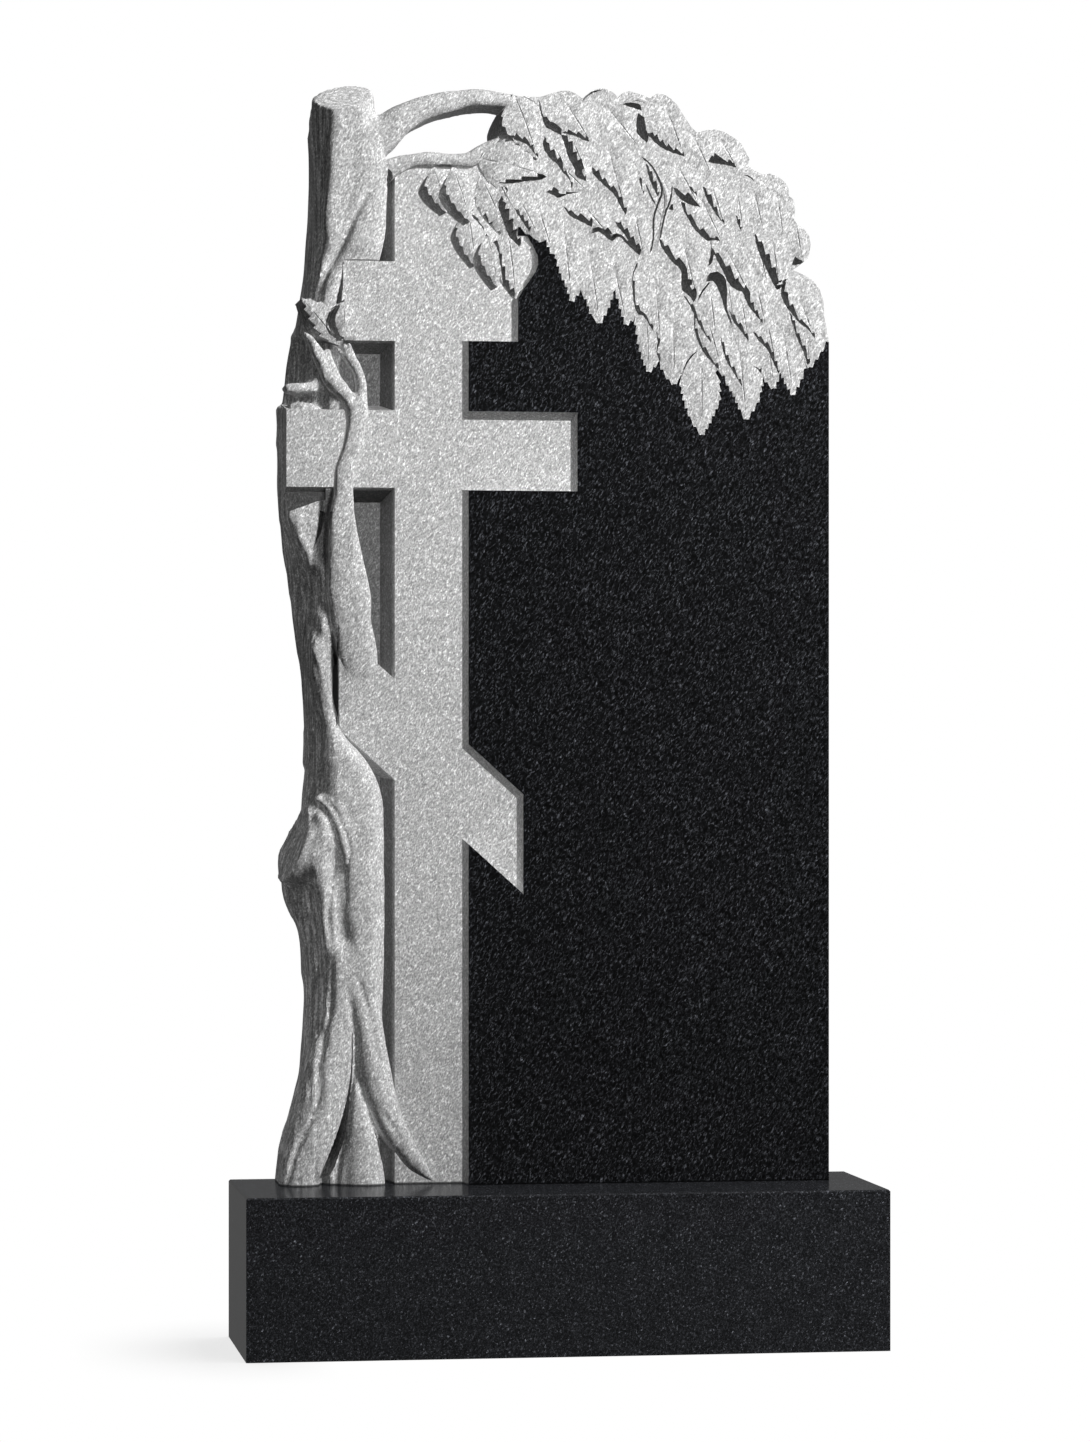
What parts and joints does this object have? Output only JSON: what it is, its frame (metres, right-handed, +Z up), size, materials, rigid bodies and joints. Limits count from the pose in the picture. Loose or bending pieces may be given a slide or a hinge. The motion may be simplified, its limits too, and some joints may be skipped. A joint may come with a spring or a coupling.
{
  "type": "carved granite headstone with cross and birch tree",
  "caption": "Upright granite headstone on a low plinth, with a three-bar cross sunk in a polished panel beside a carved birch trunk, arching branches and a leafy crown.",
  "frame": {"origin": "centre of the plinth's underside, on the ground", "axes": "+Z up; -Y towards the viewer, the side with the polished panel and the carving; +X to the viewer's right"},
  "size_m": [0.6, 0.2, 1.19],
  "materials": {
    "carved_granite": "matte",
    "polished_granite": "polished"
  },
  "bodies": {
    "root": {"stele": "carved_granite", "plinth": "polished_granite"}
  },
  "joints": []
}
